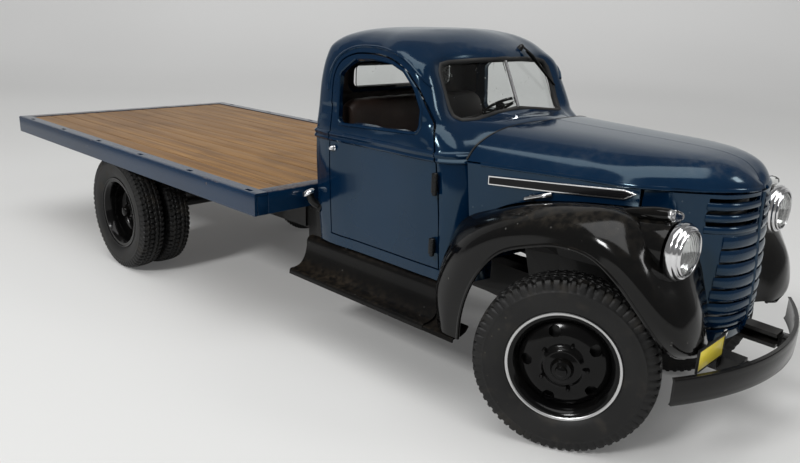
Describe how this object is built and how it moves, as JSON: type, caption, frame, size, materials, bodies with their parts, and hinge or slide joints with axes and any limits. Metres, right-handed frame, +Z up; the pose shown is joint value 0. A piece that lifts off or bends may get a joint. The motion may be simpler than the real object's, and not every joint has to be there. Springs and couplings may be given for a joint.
{
  "type": "flatbed truck model",
  "caption": "Scale model of a 1940s flatbed truck with a split hood, louvred grille, twin rear wheels, opening doors and a plank deck in a steel edge.",
  "frame": {"origin": "bottom centre of the bounding box, on the floor under the middle of the truck", "axes": "+X to the front of the truck, +Y to its left side, +Z up"},
  "size_m": [0.4312, 0.1456, 0.1305],
  "materials": {
    "blue_paint": "glossy dark blue enamel",
    "black_paint": "glossy black enamel",
    "chassis_black": "satin black paint",
    "tyre_rubber": "dull moulded rubber with tread",
    "chrome": "polished plating with a clear lens",
    "wood": "oiled planks",
    "glass": "clear glazing",
    "brown_vinyl": "dull brown seat cover",
    "yellow_paint": "blank yellow plate"
  },
  "bodies": {
    "chassis": {"bed_deck": "wood", "bed_header_front": "blue_paint", "bed_header_rear": "blue_paint", "bed_rail_left": "blue_paint", "bed_rail_right": "blue_paint", "bed_sills": "chassis_black", "cab_back": "blue_paint", "cab_cowl": "blue_paint", "cab_floor": "chassis_black", "cab_roof": "blue_paint", "dash": "chassis_black", "drive_shaft": "chassis_black", "engine": "chassis_black", "exhaust": "chassis_black", "fender_apron_left": "chassis_black", "fender_apron_right": "chassis_black", "fender_left": "black_paint", "fender_right": "black_paint", "frame_crossmember_cab": "chassis_black", "frame_crossmember_front": "chassis_black", "frame_crossmember_middle": "chassis_black", "frame_crossmember_rear": "chassis_black", "frame_rail_left": "chassis_black", "frame_rail_right": "chassis_black", "front_axle": "chassis_black", "front_bumper": "black_paint", "fuel_filler": "chrome", "grille_shell": "blue_paint", "headlamp_left": "chrome", "headlamp_right": "chrome", "number_plate": "yellow_paint", "radiator": "chassis_black", "rear_axle": "chassis_black", "rear_window_glass": "glass", "running_board_left": "black_paint", "running_board_right": "black_paint", "seat": "brown_vinyl", "steering_wheel": "chassis_black", "windscreen_frame": "chassis_black", "windscreen_glass": "glass", "wiper": "chassis_black"},
    "door_right": {"door_right": "blue_paint"},
    "hood_right": {"hood_right": "blue_paint"},
    "knuckle_right": {"knuckle_right": "chassis_black"},
    "front_wheel_right": {"front_wheel_right": "black_paint", "front_tyre_right": "tyre_rubber"},
    "rear_wheels_right": {"rear_wheel_right": "black_paint", "rear_tyre_right_inner": "tyre_rubber", "rear_tyre_right_outer": "tyre_rubber"},
    "door_left": {"door_left": "blue_paint"},
    "hood_left": {"hood_left": "blue_paint"},
    "knuckle_left": {"knuckle_left": "chassis_black"},
    "front_wheel_left": {"front_wheel_left": "black_paint", "front_tyre_left": "tyre_rubber"},
    "rear_wheels_left": {"rear_wheel_left": "black_paint", "rear_tyre_left_inner": "tyre_rubber", "rear_tyre_left_outer": "tyre_rubber"},
    "tie_rod": {"tie_rod": "chassis_black"}
  },
  "joints": [
    {"name": "door_right_hinge", "type": "hinge", "parent": "chassis", "child": "door_right", "pos_m": [0.11055, -0.048, 0.068], "axis": [0, 0, 1], "range_deg": [0, 65]},
    {"name": "hood_right_hinge", "type": "hinge", "parent": "chassis", "child": "hood_right", "pos_m": [0.12565, 0, 0.1003], "axis": [-0.9993, 0, 0.0363], "range_deg": [0, 60]},
    {"name": "knuckle_right_steer", "type": "hinge", "parent": "chassis", "child": "knuckle_right", "pos_m": [0.16205, -0.038, 0.0298], "axis": [0, 0, 1], "range_deg": [-55, 5]},
    {"name": "front_wheel_right_spin", "type": "hinge", "parent": "knuckle_right", "child": "front_wheel_right", "pos_m": [0.16311, -0.04027, 0.0298], "axis": [-0.4226, 0.9063, 0], "continuous": true},
    {"name": "rear_wheels_right_spin", "type": "hinge", "parent": "chassis", "child": "rear_wheels_right", "pos_m": [-0.09045, -0.058, 0.0298], "axis": [0, 1, 0], "continuous": true},
    {"name": "door_left_hinge", "type": "hinge", "parent": "chassis", "child": "door_left", "pos_m": [0.11055, 0.048, 0.068], "axis": [0, 0, -1], "range_deg": [0, 65]},
    {"name": "hood_left_hinge", "type": "hinge", "parent": "chassis", "child": "hood_left", "pos_m": [0.12565, 0, 0.1003], "axis": [0.9993, 0, -0.0363], "range_deg": [0, 60]},
    {"name": "knuckle_left_steer", "type": "hinge", "parent": "chassis", "child": "knuckle_left", "pos_m": [0.16205, 0.038, 0.0298], "axis": [0, 0, 1], "range_deg": [-55, 5]},
    {"name": "front_wheel_left_spin", "type": "hinge", "parent": "knuckle_left", "child": "front_wheel_left", "pos_m": [0.16099, 0.04027, 0.0298], "axis": [-0.4226, 0.9063, 0], "continuous": true},
    {"name": "rear_wheels_left_spin", "type": "hinge", "parent": "chassis", "child": "rear_wheels_left", "pos_m": [-0.09045, 0.058, 0.0298], "axis": [0, 1, 0], "continuous": true},
    {"name": "tie_rod_pivot", "type": "hinge", "parent": "knuckle_right", "child": "tie_rod", "pos_m": [0.14661, -0.03803, 0.025], "axis": [0, 0, 1], "range_deg": [-7, 67]}
  ],
  "couplings": [
    {"joint": "knuckle_left_steer", "follows": "knuckle_right_steer", "ratio": 1},
    {"joint": "tie_rod_pivot", "follows": "knuckle_right_steer", "ratio": -1.19}
  ]
}
